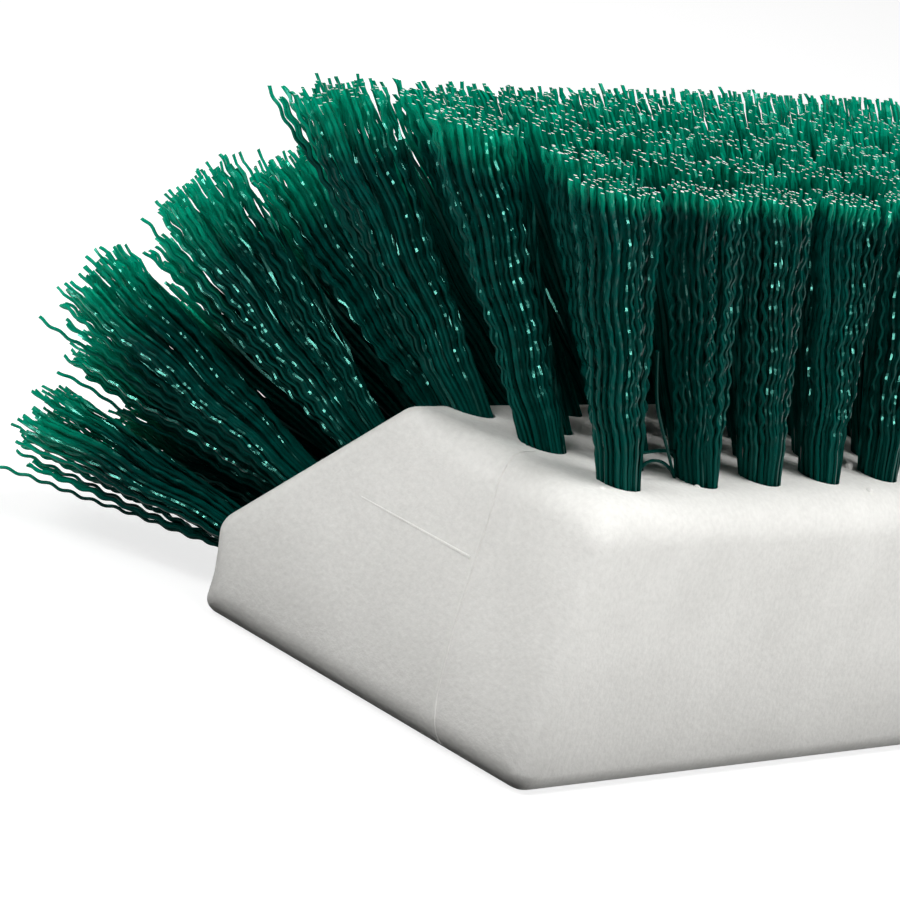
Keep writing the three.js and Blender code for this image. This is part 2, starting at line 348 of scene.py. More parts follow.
def rounded_corner(i, inset):
    """The points round one corner of the section, drawn in by the inset."""
    corner, radius, _ = CORNERS[i]
    before = CORNERS[i - 1][0]
    after = CORNERS[(i + 1) % len(CORNERS)][0]
    n_in, n_out = outward(before, corner), outward(corner, after)
    radius = max(radius - inset, LEAST_CORNER_RADIUS)
    reach = np.array([n @ np.array(corner) - inset - radius for n in (n_in, n_out)])
    centre = np.linalg.solve(np.array([n_in, n_out]), reach)
    start = math.atan2(n_in[1], n_in[0])
    turn = (math.atan2(n_out[1], n_out[0]) - start) % (2 * math.pi)
    angles = start + turn * np.linspace(0, 1, ARC_STEPS + 1)
    return centre + radius * np.stack([np.cos(angles), np.sin(angles)], axis=1)


def section(inset):
    """The whole section in (y, z), drawn in by the inset."""
    arcs = [rounded_corner(i, inset) for i in range(len(CORNERS))]
    points = []
    for i, arc in enumerate(arcs):
        following = arcs[(i + 1) % len(arcs)][0]
        shares = np.linspace(0, 1, CORNERS[i][2] + 1)[1:-1, None]
        points += [arc, arc[-1] + (following - arc[-1]) * shares]
    return np.concatenate(points)


def smooth_step(share):
    """A share from 0 to 1 that starts and ends gently."""
    share = np.clip(share, 0.0, 1.0)
    return share * share * (3 - 2 * share)


# The end's rounding is sharper along the slant, and changes over round the corners beside it.
slant_normal = outward(tuple(back_edge), tuple(ridge))
outline = section(0.0)
off_slant = slant_normal @ ridge - outline @ slant_normal
end_radius = SLANT_END_RADIUS + (END_RADIUS - SLANT_END_RADIUS) * smooth_step(off_slant / SLANT_BLEND)


def end_ring(angle):
    """One ring of the end's rounding: 90 degrees lies on the end face and 0 on the sides."""
    wide, narrow = (section(r * (1 - math.cos(angle))) for r in (END_RADIUS, SLANT_END_RADIUS))
    share = ((end_radius - SLANT_END_RADIUS) / (END_RADIUS - SLANT_END_RADIUS))[:, None]
    x = -(HALF_LENGTH - end_radius * (1 - math.sin(angle)))
    return np.column_stack([x, narrow + (wide - narrow) * share])


print("points round the section:", len(outline))

# %% The loft
BODY_STEPS = 48
CAP_SHARES = (0.92, 0.84, 0.76, 0.68, 0.6, 0.5, 0.4, 0.3, 0.2, 0.1)
# The faces sink by up to SINK_MM, in bands inside the front face and the foot. The ends sink less, and fall
# away from the parting line by END_PEAK for each millimetre.
SINK_MM, FRONT_BAND, FOOT_BAND, END_SINK_SHARE = 0.18, 5.0, 4.0, 0.6
PARTING_Y, END_PEAK = -13.25, 0.005


def block_rings():
    """The rings of the loft, from the middle of one end face to the middle of the other."""
    near = [end_ring(angle) for angle in np.linspace(math.pi / 2, 0, ARC_STEPS + 1)]
    body_end = HALF_LENGTH - END_RADIUS
    body = [np.column_stack([np.full(len(outline), x), outline])
            for x in np.linspace(-body_end, body_end, BODY_STEPS + 1)[1:-1]]
    far = [ring * (-1, 1, 1) for ring in reversed(near)]
    rings = near + body + far
    for end in (0, -1):
        rim = rings[end]
        middle = rim.mean(axis=0)
        caps = [middle + (rim - middle) * share for share in CAP_SHARES]
        rings = caps[::-1] + rings if end == 0 else rings + caps
    return rings


def sunk(points):
    """Dish the faces and peak the ends, as a cooling moulding does."""
    x, y, z = points.T.copy()
    along = 1 - np.abs(x / HALF_LENGTH) ** 4
    at_end = smooth_step((np.abs(x) - (HALF_LENGTH - END_RADIUS)) / END_RADIUS)
    at_front = smooth_step((FRONT_BAND - HALF_WIDTH - y) / FRONT_BAND)
    at_foot = smooth_step((FOOT_BAND - z) / FOOT_BAND)
    up = np.sin(np.pi * np.clip(z / BLOCK_HEIGHT, 0, 1))
    across = 1 - (y / HALF_WIDTH) ** 2
    drawn = at_end * (END_PEAK * np.abs(y - PARTING_Y) + END_SINK_SHARE * SINK_MM * up * across)
    return np.column_stack([
        x - np.sign(x) * drawn,
        y + SINK_MM * at_front * along * up,
        z + SINK_MM * at_foot * along * across,
    ])


def ring_faces(count, size, start=0):
    """Side and end faces of a closed tube of rings."""
    made = []
    for r in range(count - 1):
        for k in range(size):
            a, b = start + r * size + k, start + r * size + (k + 1) % size
            made.append((a, b, b + size, a + size))
    end = start + (count - 1) * size
    made.append(tuple(range(start + size - 1, start - 1, -1)))
    made.append(tuple(range(end, end + size)))
    return made


rings = block_rings()
block = mesh_object("moulded_block", sunk(np.concatenate(rings)), ring_faces(len(rings), len(outline)))
print("block before drilling:", len(block.data.polygons), "faces")

# %% [markdown]
# ## Drilled holes
# The tuft holes are drilled, each along its own tuft's axis. They repeat, so a node tree places one drill
# on each tuft point, turns it along the axis and cuts all of them out of the block at once.

# %% The drilling tree
HOLE_DEPTH = 10.0
DRILL_CLEARANCE = 7.0
DRILL_SIDES = 24


def new_tree(name, sockets):
    """A geometry node tree with named inputs, and the sockets that give their values."""
    made = bpy.data.node_groups.new(name, "GeometryNodeTree")
    made.interface.new_socket("Geometry", in_out="INPUT", socket_type="NodeSocketGeometry")
    for label, kind in sockets:
        made.interface.new_socket(label, in_out="INPUT", socket_type=kind)
    made.interface.new_socket("Geometry", in_out="OUTPUT", socket_type="NodeSocketGeometry")
    return made, made.nodes.new("NodeGroupInput").outputs


def use_tree(made, group, values):
    """Put a node tree on an object, with its inputs set by their sockets' identifiers."""
    modifier = made.modifiers.new(group.name, "NODES")
    modifier.node_group = group
    for item in group.interface.items_tree:
        if item.in_out == "INPUT" and item.name in values:
            modifier[item.identifier] = values[item.name]


drilling, given = new_tree("drill_tuft_holes", [
    ("Tufts", "NodeSocketObject"), ("Hole Radius", "NodeSocketFloat"),
    ("Depth", "NodeSocketFloat"), ("Clearance", "NodeSocketFloat"), ("Sides", "NodeSocketInt"),
])
stand = add(drilling, "GeometryNodeObjectInfo", {"Object": given["Tufts"]})
drill_length = add(drilling, MATH, {0: given["Depth"], 1: given["Clearance"]})
drill = add(drilling, "GeometryNodeMeshCylinder", {
    "Vertices": given["Sides"], "Radius": given["Hole Radius"], "Depth": drill_length})
drop = add(drilling, MATH, {0: given["Clearance"], 1: given["Depth"]}, operation="SUBTRACT")
drop = add(drilling, MATH, {0: drop, 1: 0.5}, operation="MULTIPLY")
lift = add(drilling, "ShaderNodeCombineXYZ", {"Z": drop})
raised = add(drilling, "GeometryNodeTransform", {
    "Geometry": drill.outputs["Mesh"], "Translation": lift})
axis = add(drilling, NAMED, {"Name": "axis"}, data_type="FLOAT_VECTOR")
turn = add(drilling, "FunctionNodeAlignRotationToVector", {
    "Vector": axis.outputs["Attribute"]}, axis="Z")
drills = add(drilling, "GeometryNodeInstanceOnPoints", {
    "Points": stand.outputs["Geometry"], "Instance": raised,
    "Rotation": turn.outputs["Rotation"]})
cutters = add(drilling, "GeometryNodeRealizeInstances", {0: drills.outputs["Instances"]})
drilled = add(drilling, "GeometryNodeMeshBoolean", {
    "Mesh 1": given["Geometry"], "Mesh 2": cutters},
    operation="DIFFERENCE", solver="MANIFOLD")
add(drilling, "NodeGroupOutput", {"Geometry": drilled.outputs["Mesh"]})

use_tree(block, drilling, {
    "Tufts": all_tufts, "Hole Radius": HOLE_DIAMETER / 2 * MM, "Depth": HOLE_DEPTH * MM,
    "Clearance": DRILL_CLEARANCE * MM, "Sides": DRILL_SIDES})
flatten_modifiers(block)
print("block after drilling:", len(block.data.polygons), "faces")

# %% [markdown]
# ## The pole socket
# A pole screws into the handle face, at a lean. Its thread is coarse and blunt, as on a broom pole. A
# Screw modifier could wind the thread, but its two ends are hard to close. So a tap cuts it, as in the
# workshop: a closed bar whose radius follows the thread's profile round a helix.

# %% The pole socket
SOCKET_DIAMETER, SOCKET_DEPTH, SOCKET_LEAN, SOCKET_Y = 19.5, 27.0, 30.0, -15.35
THREAD_PITCH, THREAD_DEPTH = 5.08, 1.5
# Shares of the pitch: half the floor of the thread's groove, and one of its flanks.
GROOVE_SHARE, FLANK_SHARE = 0.14, 0.22
TAP_START, TAP_TIP = -9.0, 3.0
TAP_SIDES, TAP_STEPS_PER_TURN = 48, 12


def tap_rings():
    """The rings of the tap, from below the handle face to its plain tip."""
    lean = math.radians(SOCKET_LEAN)
    inward = np.array([0.0, math.sin(lean), math.cos(lean)])
    across = np.array([0.0, math.cos(lean), -math.sin(lean)])
    sideways = np.array([1.0, 0.0, 0.0])
    turns = (SOCKET_DEPTH - TAP_START) / THREAD_PITCH
    depths = np.linspace(TAP_START, SOCKET_DEPTH, int(turns * TAP_STEPS_PER_TURN) + 1)
    rows = []
    for depth in depths:
        angles = np.arange(TAP_SIDES) * 2 * math.pi / TAP_SIDES
        phase = (depth / THREAD_PITCH - angles / (2 * math.pi)) % 1.0
        ramp = np.clip((np.abs(phase - 0.5) - GROOVE_SHARE) / FLANK_SHARE, 0.0, 1.0)
        radius = SOCKET_DIAMETER / 2 - THREAD_DEPTH * ramp
        if depth > SOCKET_DEPTH - TAP_TIP:
            radius = np.full(TAP_SIDES, SOCKET_DIAMETER / 2 - THREAD_DEPTH)
        ring = np.outer(np.cos(angles) * radius, sideways)
        ring = ring + np.outer(np.sin(angles) * radius, across)
        rows.append(ring + inward * depth + np.array([0.0, SOCKET_Y, 0.0]))
    return rows


def outward_faces(made):
    """Turn a closed mesh's faces outwards."""
    shape = bmesh.new()
    shape.from_mesh(made.data)
    bmesh.ops.recalc_face_normals(shape, faces=shape.faces)
    shape.to_mesh(made.data)
    shape.free()
    return made


def boolean(made, other, operation):
    """Cut or join one closed mesh with another, and drop the other."""
    modifier = made.modifiers.new(operation, "BOOLEAN")
    modifier.operation = operation
    modifier.solver = "MANIFOLD"
    modifier.object = other
    flatten_modifiers(made)
    bpy.data.objects.remove(other)


tap_rows = tap_rings()
tap = outward_faces(mesh_object("tap", np.concatenate(tap_rows), ring_faces(len(tap_rows), TAP_SIDES)))
boolean(block, tap, "DIFFERENCE")
print("block with its socket:", len(block.data.polygons), "faces")

# %% [markdown]
# ## Flash lines
# Where the parts of the mould meet, a little plastic creeps out and leaves a raised line. One runs up
# each end face and over its top edge, and a short one meets it from the slanted side. Each is a low bead
# swept along the surface and joined to the block.

# %% Flash lines
BEAD_WIDTH, BEAD_HEIGHT, BEAD_SIDES = 0.55, 0.2, 8
# The upright line strays sideways on its way up: its y at some heights.
UPRIGHT_Z = (0.0, 3.0, 7.5, 16.5, 36.5, 41.5, 43.5)
UPRIGHT_Y = (-16.6, -15.6, -14.3, -13.45, -13.15, -12.55, -11.75)
CROSS_Z, CROSS_FROM_Y, CROSS_TO_Y, CROSS_POINTS = 27.9, 8.7, -12.4, 16


def end_profile():
    """Points (x, z) down an end face: over the top rounding, down the face and into the foot."""
    radius, end, top = END_RADIUS, HALF_LENGTH, BLOCK_HEIGHT
    over = [(-(end - radius * (1 - math.sin(a))), top - radius * (1 - math.cos(a)))
            for a in np.linspace(0, math.pi / 2, 9)]
    face = [(-end, z) for z in np.linspace(top - radius, radius, 24)[1:]]
    foot = [(-(end - radius * (1 - math.cos(a))), radius * (1 - math.sin(a)))
            for a in np.linspace(0, 0.9, 5)[1:]]
    return np.array([(8.0 - end, top), (6.5 - end, top)] + over + face + foot)


def bead(path, normals, widths):
    """A low bead along a path on a surface, with a share of its full size at each point."""
    rows = []
    for i, (point, normal) in enumerate(zip(path, normals)):
        ahead = path[min(i + 1, len(path) - 1)] - path[max(i - 1, 0)]
        side = unit(np.cross(ahead, normal))
        angles = np.arange(BEAD_SIDES) * 2 * math.pi / BEAD_SIDES
        ring = np.outer(np.cos(angles) * BEAD_WIDTH / 2, side)
        ring = ring + np.outer(np.sin(angles) * BEAD_HEIGHT, normal)
        rows.append(point + ring * widths[i])
    return rows


profile = end_profile()
upright_y = np.interp(profile[:, 1], UPRIGHT_Z, UPRIGHT_Y)
upright = np.column_stack([profile[:, 0], upright_y, profile[:, 1]])
steps = np.gradient(profile, axis=0)
upright_normals = [unit(np.array([s[1], 0.0, -s[0]])) for s in steps]
upright_widths = np.minimum(1.0, 0.3 + 0.25 * np.arange(len(upright)))
cross_y = np.linspace(CROSS_FROM_Y, CROSS_TO_Y, CROSS_POINTS)
cross = np.array([(-HALF_LENGTH, y, CROSS_Z) for y in cross_y])
cross_normals = [np.array([-1.0, 0.0, 0.0])] * CROSS_POINTS
cross_widths = np.linspace(0.45, 1.0, CROSS_POINTS)
for mirror in (1, -1):
    flip = np.array([mirror, 1, 1])
    for line, normals, widths in ((upright, upright_normals, upright_widths),
                                  (cross, cross_normals, cross_widths)):
        rows = bead(sunk(line) * flip, np.array(normals) * flip, widths)
        flash = mesh_object("flash", np.concatenate(rows), ring_faces(len(rows), BEAD_SIDES))
        boolean(block, outward_faces(flash), "UNION")
block.data.set_sharp_from_angle(angle=math.radians(40))
block.data.materials.clear()
block.data.materials.append(foamed_plastic)
print("finished block:", triangles(block), "triangles")

# %% [markdown]
# ## Crimped polyester
# The filaments are solid-coloured polyester, drawn through a die and crimped between gears. Drawing
# leaves them glossy, so each wave catches a small bright spot. The depth of the green differs a little
# from filament to filament. The last few millimetres are painted a paler green, a painted glow that stands
# in for light running along a filament and coming out near its end. The knife leaves the cut face pale and
# dull, and its near-white colour is also a painted highlight of the light that the cut faces catch. The
# node tree stores all three in attributes. The specular level is low, so that the white floor doesn't turn
# the filaments' edges grey, and two bright strips of light make up for it in the spots.

# %% Crimped polyester
crimped_polyester, tree = new_finish("crimped_polyester")
shade, tip, cut = (add(tree, "ShaderNodeAttribute", attribute_name=name).outputs["Fac"]
                   for name in ("shade", "tip", "cut"))
green = add(tree, "ShaderNodeValToRGB", {"Fac": shade})
green.color_ramp.elements[0].color = linear("#00312c")
green.color_ramp.elements[1].color = linear("#004740")
# Painted glow: towards the tip the green is mixed into a paler green, standing in for light that comes out
# near the filament's end.
painted_tip_glow = add(tree, MIX, {
    "Factor": tip, 6: green.outputs["Color"], 7: linear("#009a78")}, data_type="RGBA")
# Partly painted highlight: the cut face is mixed to near white, for the knife's pale cut and for the light
# the cut faces catch.
cut_face_and_painted_highlight = add(tree, MIX, {
    "Factor": cut, 6: painted_tip_glow.outputs[2], 7: linear("#eefbf7")}, data_type="RGBA")
gloss = add(tree, MAP_RANGE, {"Value": cut, "To Min": 0.16, "To Max": 0.6})
surface = add(tree, "ShaderNodeBsdfPrincipled", {
    "Base Color": cut_face_and_painted_highlight.outputs[2], "Roughness": gloss, "IOR": 1.57,
    "Specular IOR Level": 0.06, "Specular Tint": linear("#90ffea")})
add(tree, "ShaderNodeOutputMaterial", {"Surface": surface.outputs["BSDF"]})
print("finish:", crimped_polyester.name)

# %% [markdown]
# ## Tufts of crimped filament
# A tuft holds sixty to eighty filaments. They could be hair particles, but the export keeps only meshes,
# so a node tree grows them. It copies each tuft point once a filament, sets the roots in a sunflower
# spiral inside the hole, fans the tips out, finds each length from the trim plane, bends each path with
# the crimp's wave and sweeps a thin profile along it. The next cells build that tree part by part. The
# first has its inputs and the roots.

# %% The filament tree: inputs and roots
GOLDEN_ANGLE = 2.399963
# Tufts at different places start their spirals at different angles: radians for a metre of x, y and z.
SPIRAL_START = (911.0, 577.0, 353.0)

filaments, given = new_tree("tuft_filaments", [
    ("Filaments", "NodeSocketInt"), ("Hole Radius", "NodeSocketFloat"),
    ("Flare Along", "NodeSocketFloat"), ("Flare Across", "NodeSocketFloat"),
    ("Filament Radius", "NodeSocketFloat"), ("Sides", "NodeSocketInt"),
    ("Root Depth", "NodeSocketFloat"), ("Straight Root", "NodeSocketFloat"),
    ("Crimp Length", "NodeSocketFloat"), ("Crimp Depth", "NodeSocketFloat"),
    ("Wander", "NodeSocketFloat"), ("Twist", "NodeSocketFloat"), ("Loose", "NodeSocketFloat"),
    ("Uneven Cut", "NodeSocketFloat"), ("Painted Tip Glow", "NodeSocketFloat"),
    ("Shell Points", "NodeSocketInt"), ("Core Points", "NodeSocketInt"), ("Crowd", "NodeSocketFloat"),
    ("Seed", "NodeSocketInt"), ("Material", "NodeSocketMaterial"),
])

# One point a filament, numbered inside its tuft.
stands = add(filaments, "GeometryNodeMeshToPoints", {"Mesh": given["Geometry"]})
copies = add(filaments, "GeometryNodeDuplicateElements", {
    "Geometry": stands, "Amount": given["Filaments"]}, domain="POINT")
number = copies.outputs["Duplicate Index"]
base = add(filaments, "GeometryNodeInputPosition")
axis, cut_point, cut_normal, outward_way = (
    add(filaments, NAMED, {"Name": name}, data_type="FLOAT_VECTOR").outputs["Attribute"]
    for name in ("axis", "cut_point", "cut_normal", "outward"))

# The root's place in the hole: a sunflower spiral, turned by its tuft's own place.
share = add(filaments, MATH, {0: number, 1: 0.5})
share = add(filaments, MATH, {0: share, 1: given["Filaments"]}, operation="DIVIDE")
ring = add(filaments, MATH, {0: share}, operation="SQRT")
spin = add(filaments, VECTOR, {0: base, 1: SPIRAL_START}, operation="DOT_PRODUCT").outputs["Value"]
angle = add(filaments, MATH, {0: number, 1: GOLDEN_ANGLE, 2: spin}, operation="MULTIPLY_ADD")
across = add(filaments, VECTOR, {0: axis, 1: (1.0, 0.0, 0.0)}, operation="CROSS_PRODUCT")
across = add(filaments, VECTOR, {0: across}, operation="NORMALIZE")
along = add(filaments, VECTOR, {0: axis, 1: across}, operation="CROSS_PRODUCT")
reach = add(filaments, MATH, {0: ring, 1: given["Hole Radius"]}, operation="MULTIPLY")
cosine = add(filaments, MATH, {0: angle}, operation="COSINE")
cosine = add(filaments, MATH, {0: cosine, 1: reach}, operation="MULTIPLY")
sine = add(filaments, MATH, {0: angle}, operation="SINE")
sine = add(filaments, MATH, {0: sine, 1: reach}, operation="MULTIPLY")
root_across = add(filaments, VECTOR, {0: across, "Scale": cosine}, operation="SCALE")
root_along = add(filaments, VECTOR, {0: along, "Scale": sine}, operation="SCALE")
root_offset = add(filaments, VECTOR, {0: root_across, 1: root_along})
root = add(filaments, VECTOR, {0: base, 1: root_offset})
print("inputs and roots:", len(filaments.nodes), "nodes")

# %% [markdown]
# The tips fan out along and across the block, and a few filaments go well astray. The real tufts are
# trimmed by a knife, so each filament is as long as it needs to be to reach the trim plane. A random
# share of the uneven cut is then added or, more often, taken off.

# %% The filament tree: tips and lengths
ANY_WAY = {0: (-1.0, -1.0, -1.0), 1: (1.0, 1.0, 1.0)}
STRAY_POWER = 3.0
UNEVEN_FROM, UNEVEN_TO = -0.75, 0.35

stray = add(filaments, RANDOM, ANY_WAY | {"Seed": given["Seed"]}, data_type="FLOAT_VECTOR")
how_far = add(filaments, RANDOM, {"Seed": 3}, data_type="FLOAT").outputs[1]
how_far = add(filaments, MATH, {0: how_far, 1: STRAY_POWER}, operation="POWER")
how_far = add(filaments, MATH, {0: how_far, 1: given["Loose"]}, operation="MULTIPLY")
stray = add(filaments, VECTOR, {0: stray, "Scale": how_far}, operation="SCALE")
tip_across = add(filaments, VECTOR, {0: root_across, "Scale": given["Flare Across"]}, operation="SCALE")
tip_along = add(filaments, VECTOR, {0: root_along, "Scale": given["Flare Along"]}, operation="SCALE")
tip_offset = add(filaments, VECTOR, {0: tip_across, 1: tip_along})
tip_offset = add(filaments, VECTOR, {0: tip_offset, 1: stray})
to_cut = add(filaments, VECTOR, {0: cut_point, 1: base}, operation="SUBTRACT")
way = add(filaments, VECTOR, {0: to_cut, 1: tip_offset})
way = add(filaments, VECTOR, {0: way, 1: root_offset}, operation="SUBTRACT")
grow = add(filaments, VECTOR, {0: way}, operation="NORMALIZE")
to_plane = add(filaments, VECTOR, {0: cut_point, 1: root}, operation="SUBTRACT")
height = add(filaments, VECTOR, {0: to_plane, 1: cut_normal}, operation="DOT_PRODUCT")
slope = add(filaments, VECTOR, {0: grow, 1: cut_normal}, operation="DOT_PRODUCT")
length = add(filaments, MATH, {
    0: height.outputs["Value"], 1: slope.outputs["Value"]}, operation="DIVIDE")
uneven = add(filaments, RANDOM, {2: UNEVEN_FROM, 3: UNEVEN_TO, "Seed": 5}, data_type="FLOAT")
length = add(filaments, MATH, {
    0: uneven.outputs[1], 1: given["Uneven Cut"], 2: length}, operation="MULTIPLY_ADD")
print("with tips and lengths:", len(filaments.nodes), "nodes")

# %% [markdown]
# The crimp's wave lies in a plane that mostly faces out of the tuft. The filaments of a tuft come from one
# hank, so their waves are almost in step. The shell of a tuft shows from root to tip where it faces out of
# the head, so it gets enough points for every wave. The rest shows only near the tip, and gets few points.

# %% The filament tree: crimp and detail
SIDE_SPREAD, PHASE_SPREAD, DEPTH_FROM, DEPTH_TO = 0.7, 0.7, 0.8, 1.2
SHELL_RING, LEAST_FACING, CORE_CROWD = 0.68, -0.3, 0.6

aside = add(filaments, RANDOM, ANY_WAY | {"Seed": 7}, data_type="FLOAT_VECTOR")
aside = add(filaments, VECTOR, {0: aside, "Scale": SIDE_SPREAD}, operation="SCALE")
outwards = add(filaments, VECTOR, {0: root_offset}, operation="NORMALIZE")
wave_side = add(filaments, VECTOR, {0: outwards, 1: aside})
along_it = add(filaments, VECTOR, {0: wave_side, 1: grow}, operation="PROJECT")
wave_side = add(filaments, VECTOR, {0: wave_side, 1: along_it}, operation="SUBTRACT")
wave_side = add(filaments, VECTOR, {0: wave_side}, operation="NORMALIZE")
phase = add(filaments, RANDOM, {2: -PHASE_SPREAD, 3: PHASE_SPREAD, "Seed": 11}, data_type="FLOAT")
phase = add(filaments, MATH, {0: phase.outputs[1], 1: spin})
depth = add(filaments, RANDOM, {2: DEPTH_FROM, 3: DEPTH_TO, "Seed": 13}, data_type="FLOAT")
depth = add(filaments, MATH, {0: depth.outputs[1], 1: given["Crimp Depth"]}, operation="MULTIPLY")
shade = add(filaments, RANDOM, {2: 0.0, 3: 1.0, "Seed": 17}, data_type="FLOAT").outputs[1]
turned = add(filaments, RANDOM, {2: 0.0, 3: 2 * math.pi, "Seed": 19}, data_type="FLOAT").outputs[1]
facing = add(filaments, VECTOR, {0: outwards, 1: outward_way}, operation="DOT_PRODUCT").outputs["Value"]
is_shell = add(filaments, COMPARE, {0: ring, 1: SHELL_RING}, operation="GREATER_THAN")
faces_out = add(filaments, COMPARE, {0: facing, 1: LEAST_FACING}, operation="GREATER_THAN")
is_seen = add(filaments, "FunctionNodeBooleanMath", {0: is_shell, 1: faces_out}, operation="AND")
count = add(filaments, SWITCH, {
    "Switch": is_seen, "False": given["Core Points"], "True": given["Shell Points"]}, input_type="INT")
crowd = add(filaments, SWITCH, {
    "Switch": is_seen, "False": CORE_CROWD, "True": given["Crowd"]}, input_type="FLOAT")
print("with crimp and detail:", len(filaments.nodes), "nodes")

# %% [markdown]
# Everything found so far is held on the points, and each point is turned into a line of its own. The
# line's first point is the root in the hole, and the filaments inside crowd their points towards the tip.

# %% The filament tree: lines
held = add(filaments, "GeometryNodeCaptureAttribute", {"Geometry": copies.outputs["Geometry"]})
to_hold = {
    "root": ("VECTOR", root), "grow": ("VECTOR", grow), "wave_side": ("VECTOR", wave_side),
    "length": ("FLOAT", length), "phase": ("FLOAT", phase), "depth": ("FLOAT", depth),
    "shade": ("FLOAT", shade), "count": ("INT", count), "crowd": ("FLOAT", crowd),
    "cut_normal": ("VECTOR", cut_normal), "is_seen": ("BOOLEAN", is_seen), "turn": ("FLOAT", turned),
}
for label, (kind, source) in to_hold.items():
    held.capture_items.new(kind, label)
    filaments.links.new(socket(source), held.inputs[label])
kept = {label: held.outputs[label] for label in to_hold}
line = add(filaments, "GeometryNodeCurvePrimitiveLine", {"End": (0.0, 0.0, 0.01)})
lines = add(filaments, "GeometryNodeInstanceOnPoints", {
    "Points": held.outputs["Geometry"], "Instance": line})
lines = add(filaments, "GeometryNodeRealizeInstances", {0: lines})
lines = add(filaments, "GeometryNodeResampleCurve", {"Curve": lines, "Count": kept["count"]}, mode="COUNT")

# The distance up the filament, from a share that runs from 0 at the hole to 1 at the tip.
step = add(filaments, "GeometryNodeSplineParameter").outputs["Index"]
steps = add(filaments, MATH, {0: kept["count"], 1: 2.0}, operation="SUBTRACT")
above = add(filaments, MATH, {0: step, 1: 1.0}, operation="SUBTRACT")
even = add(filaments, MATH, {0: above, 1: steps}, operation="DIVIDE")
left = add(filaments, MATH, {0: 1.0, 1: even}, operation="SUBTRACT")
crowded = add(filaments, MATH, {0: left, 1: even}, operation="MULTIPLY")
crowded = add(filaments, MATH, {0: crowded, 1: kept["crowd"], 2: even}, operation="MULTIPLY_ADD")
up = add(filaments, MATH, {0: crowded, 1: kept["length"]}, operation="MULTIPLY")
in_hole = add(filaments, MATH, {0: given["Root Depth"], 1: -1.0}, operation="MULTIPLY")
is_root = add(filaments, COMPARE, {2: step, 3: 0}, data_type="INT", operation="EQUAL")
up = add(filaments, SWITCH, {"Switch": is_root, "False": up, "True": in_hole}, input_type="FLOAT")
print("with lines:", len(filaments.nodes), "nodes")

# %% [markdown]
# The crimp's wave grows out of the hole, and a slower wander runs across it. Inside a tuft the lower part
# of a filament has too few points for the wave and stays straight. A long flat side would show there as
# one streak of light, so the sides of those filaments twist slowly round them.

# %% The filament tree: waves
WANDER_PACE = 0.21
STILL_SHARE, WAKING_SHARE = 0.9, 0.25

turns = add(filaments, MATH, {0: up, 1: given["Crimp Length"]}, operation="DIVIDE")
turns = add(filaments, MATH, {0: turns, 1: 2 * math.pi, 2: kept["phase"]}, operation="MULTIPLY_ADD")
free = add(filaments, MAP_RANGE, {"Value": up, "From Min": 0.0, "From Max": given["Straight Root"]})
still = add(filaments, MATH, {0: kept["crowd"], 1: STILL_SHARE}, operation="MULTIPLY")
waking = add(filaments, MATH, {0: still, 1: WAKING_SHARE})
shown = add(filaments, MAP_RANGE, {"Value": even, "From Min": still, "From Max": waking})
wave = add(filaments, MATH, {0: turns}, operation="SINE")
for factor in (free, shown, kept["depth"]):
    wave = add(filaments, MATH, {0: wave, 1: factor}, operation="MULTIPLY")
slow = add(filaments, MATH, {0: turns, 1: WANDER_PACE}, operation="MULTIPLY")
slow = add(filaments, MATH, {0: slow}, operation="COSINE")
for factor in (free, given["Wander"]):
    slow = add(filaments, MATH, {0: slow, 1: factor}, operation="MULTIPLY")
second = add(filaments, VECTOR, {0: kept["grow"], 1: kept["wave_side"]}, operation="CROSS_PRODUCT")
rise = add(filaments, VECTOR, {0: kept["grow"], "Scale": up}, operation="SCALE")
swing = add(filaments, VECTOR, {0: kept["wave_side"], "Scale": wave}, operation="SCALE")
drift = add(filaments, VECTOR, {0: second, "Scale": slow}, operation="SCALE")
point = kept["root"]
for shift in (rise, swing, drift):
    point = add(filaments, VECTOR, {0: point, 1: shift})
curves = add(filaments, "GeometryNodeSetPosition", {"Geometry": lines, "Position": point})
twist = add(filaments, MATH, {0: up, 1: given["Twist"], 2: kept["turn"]}, operation="MULTIPLY_ADD")
tilt = add(filaments, SWITCH, {
    "Switch": kept["is_seen"], "False": twist, "True": kept["turn"]}, input_type="FLOAT")
curves = add(filaments, "GeometryNodeSetCurveTilt", {0: curves, "Tilt": tilt})
print("with waves:", len(filaments.nodes), "nodes")

# %% [markdown]
# The shade and the nearness of the tip, which sets the painted glow, are stored for the finish, and a thin
# profile is swept along each line, with more sides where it shows. The knife leaves the ends level with the
# trim, so the last ring
# slides along its filament until the cut face lies so.

# %% The filament tree: sweep and cut
HIDDEN_SIDES, TIP_LIMIT = 3, 0.999

# Painted glow: a share that rises from 0 to 1 over the last stretch below the tip; it sets the painted glow
# and marks the cut.
to_tip = add(filaments, MATH, {0: kept["length"], 1: up}, operation="SUBTRACT")
near_tip = add(filaments, MAP_RANGE, {"Value": to_tip, "From Min": given["Painted Tip Glow"], "From Max": 0.0})
centre = add(filaments, "GeometryNodeInputPosition")
for label, value, kind in (("shade", kept["shade"], "FLOAT"), ("tip", near_tip, "FLOAT"),
                           ("centre", centre, "FLOAT_VECTOR")):
    curves = add(filaments, STORE, {
        "Geometry": curves, "Name": label, "Value": value}, data_type=kind, domain="POINT")
parted = add(filaments, "GeometryNodeSeparateGeometry", {
    "Geometry": curves, "Selection": kept["is_seen"]}, domain="CURVE")
tubes = add(filaments, "GeometryNodeJoinGeometry")
for part, sides in (("Selection", given["Sides"]), ("Inverted", HIDDEN_SIDES)):
    circle = add(filaments, "GeometryNodeCurvePrimitiveCircle", {
        "Resolution": sides, "Radius": given["Filament Radius"]})
    tube = add(filaments, "GeometryNodeCurveToMesh", {
        "Curve": parted.outputs[part], "Profile Curve": circle, "Fill Caps": True})
    filaments.links.new(tube.outputs[0], tubes.inputs[0])

